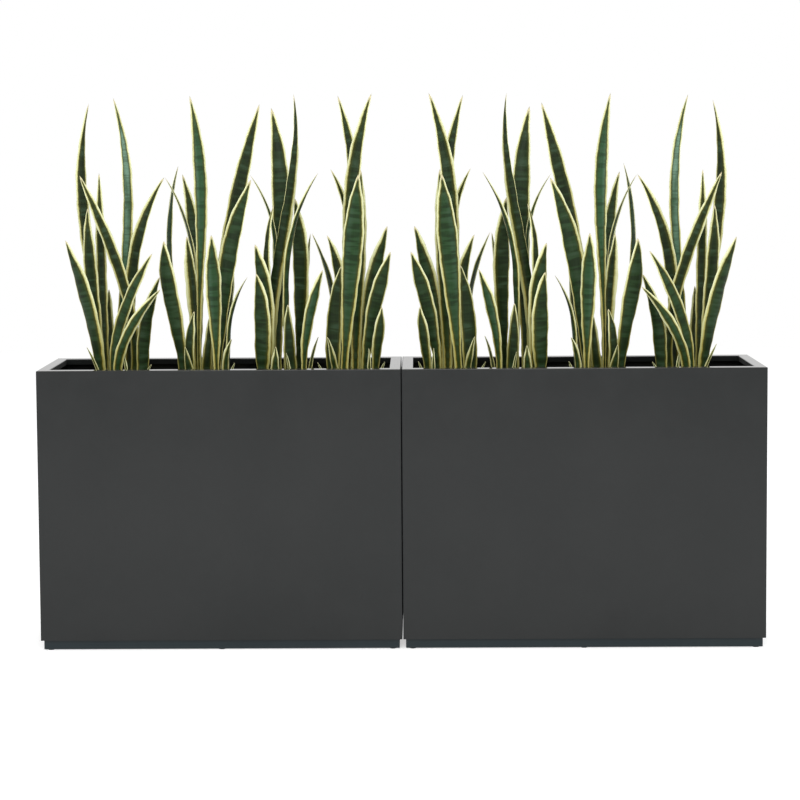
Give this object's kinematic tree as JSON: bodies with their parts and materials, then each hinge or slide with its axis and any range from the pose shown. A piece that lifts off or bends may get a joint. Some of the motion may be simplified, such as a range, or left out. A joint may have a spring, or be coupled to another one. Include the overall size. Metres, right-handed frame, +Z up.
{
  "type": "planted metal planter pair",
  "caption": "Matched pair of tall charcoal sheet-steel planter boxes with turned-in rims and set-back plinths, planted with potted snake plants on lift-out shelves.",
  "frame": {"origin": "on the floor, midway between the two boxes and midway between their front and back", "axes": "+X along the pair, to the right as seen from the front, +Y to the back, +Z up"},
  "size_m": [1.8026, 0.3, 1.3824],
  "materials": {
    "charcoal_coat": "fine matt powder coat",
    "plated_steel": "zinc plated",
    "black_rubber": "matt",
    "pot_plastic": "matt black",
    "potting_soil": "loose, dark and moist",
    "leaf_green": "waxy"
  },
  "bodies": {
    "left_box": {"left_front_panel": "charcoal_coat", "left_back_panel": "charcoal_coat", "left_outer_end_panel": "charcoal_coat", "left_inner_end_panel": "charcoal_coat", "left_corner_angles": "charcoal_coat", "left_floor_pan": "charcoal_coat", "left_plinth": "charcoal_coat", "left_foot_pads": "black_rubber", "left_wall_ribs": "charcoal_coat", "left_shelf_rails": "charcoal_coat", "left_cross_tie": "charcoal_coat", "left_weld_studs": "plated_steel", "left_flange_nuts": "plated_steel"},
    "left_shelf_unit": {"left_shelf": "charcoal_coat"},
    "left_drain_plug_1_body": {"left_drain_plug_1": "black_rubber"},
    "left_drain_plug_2_body": {"left_drain_plug_2": "black_rubber"},
    "left_plant_1": {"left_pot_1": "pot_plastic", "left_soil_1": "potting_soil", "left_leaves_1": "leaf_green"},
    "left_plant_2": {"left_pot_2": "pot_plastic", "left_soil_2": "potting_soil", "left_leaves_2": "leaf_green"},
    "left_plant_3": {"left_pot_3": "pot_plastic", "left_soil_3": "potting_soil", "left_leaves_3": "leaf_green"},
    "left_plant_4": {"left_pot_4": "pot_plastic", "left_soil_4": "potting_soil", "left_leaves_4": "leaf_green"},
    "right_box": {"right_front_panel": "charcoal_coat", "right_back_panel": "charcoal_coat", "right_outer_end_panel": "charcoal_coat", "right_inner_end_panel": "charcoal_coat", "right_corner_angles": "charcoal_coat", "right_floor_pan": "charcoal_coat", "right_plinth": "charcoal_coat", "right_foot_pads": "black_rubber", "right_wall_ribs": "charcoal_coat", "right_shelf_rails": "charcoal_coat", "right_cross_tie": "charcoal_coat", "right_weld_studs": "plated_steel", "right_flange_nuts": "plated_steel"},
    "right_shelf_unit": {"right_shelf": "charcoal_coat"},
    "right_drain_plug_1_body": {"right_drain_plug_1": "black_rubber"},
    "right_drain_plug_2_body": {"right_drain_plug_2": "black_rubber"},
    "right_plant_1": {"right_pot_1": "pot_plastic", "right_soil_1": "potting_soil", "right_leaves_1": "leaf_green"},
    "right_plant_2": {"right_pot_2": "pot_plastic", "right_soil_2": "potting_soil", "right_leaves_2": "leaf_green"},
    "right_plant_3": {"right_pot_3": "pot_plastic", "right_soil_3": "potting_soil", "right_leaves_3": "leaf_green"},
    "right_plant_4": {"right_pot_4": "pot_plastic", "right_soil_4": "potting_soil", "right_leaves_4": "leaf_green"}
  },
  "joints": [
    {"name": "right_box_slide", "type": "slide", "parent": "left_box", "child": "right_box", "axis": [1, 0, 0], "range_m": [0, 0.6]},
    {"name": "left_shelf_lift", "type": "slide", "parent": "left_box", "child": "left_shelf_unit", "axis": [0, 0, 1], "range_m": [0, 0.25]},
    {"name": "left_drain_plug_1_pull", "type": "slide", "parent": "left_box", "child": "left_drain_plug_1_body", "axis": [0, 0, 1], "range_m": [0, 0.05]},
    {"name": "left_drain_plug_2_pull", "type": "slide", "parent": "left_box", "child": "left_drain_plug_2_body", "axis": [0, 0, 1], "range_m": [0, 0.05]},
    {"name": "left_plant_1_lift", "type": "slide", "parent": "left_shelf_unit", "child": "left_plant_1", "axis": [0, 0, 1], "range_m": [0, 0.25]},
    {"name": "left_plant_2_lift", "type": "slide", "parent": "left_shelf_unit", "child": "left_plant_2", "axis": [0, 0, 1], "range_m": [0, 0.25]},
    {"name": "left_plant_3_lift", "type": "slide", "parent": "left_shelf_unit", "child": "left_plant_3", "axis": [0, 0, 1], "range_m": [0, 0.25]},
    {"name": "left_plant_4_lift", "type": "slide", "parent": "left_shelf_unit", "child": "left_plant_4", "axis": [0, 0, 1], "range_m": [0, 0.25]},
    {"name": "right_shelf_lift", "type": "slide", "parent": "right_box", "child": "right_shelf_unit", "axis": [0, 0, 1], "range_m": [0, 0.25]},
    {"name": "right_drain_plug_1_pull", "type": "slide", "parent": "right_box", "child": "right_drain_plug_1_body", "axis": [0, 0, 1], "range_m": [0, 0.05]},
    {"name": "right_drain_plug_2_pull", "type": "slide", "parent": "right_box", "child": "right_drain_plug_2_body", "axis": [0, 0, 1], "range_m": [0, 0.05]},
    {"name": "right_plant_1_lift", "type": "slide", "parent": "right_shelf_unit", "child": "right_plant_1", "axis": [0, 0, 1], "range_m": [0, 0.25]},
    {"name": "right_plant_2_lift", "type": "slide", "parent": "right_shelf_unit", "child": "right_plant_2", "axis": [0, 0, 1], "range_m": [0, 0.25]},
    {"name": "right_plant_3_lift", "type": "slide", "parent": "right_shelf_unit", "child": "right_plant_3", "axis": [0, 0, 1], "range_m": [0, 0.25]},
    {"name": "right_plant_4_lift", "type": "slide", "parent": "right_shelf_unit", "child": "right_plant_4", "axis": [0, 0, 1], "range_m": [0, 0.25]}
  ]
}
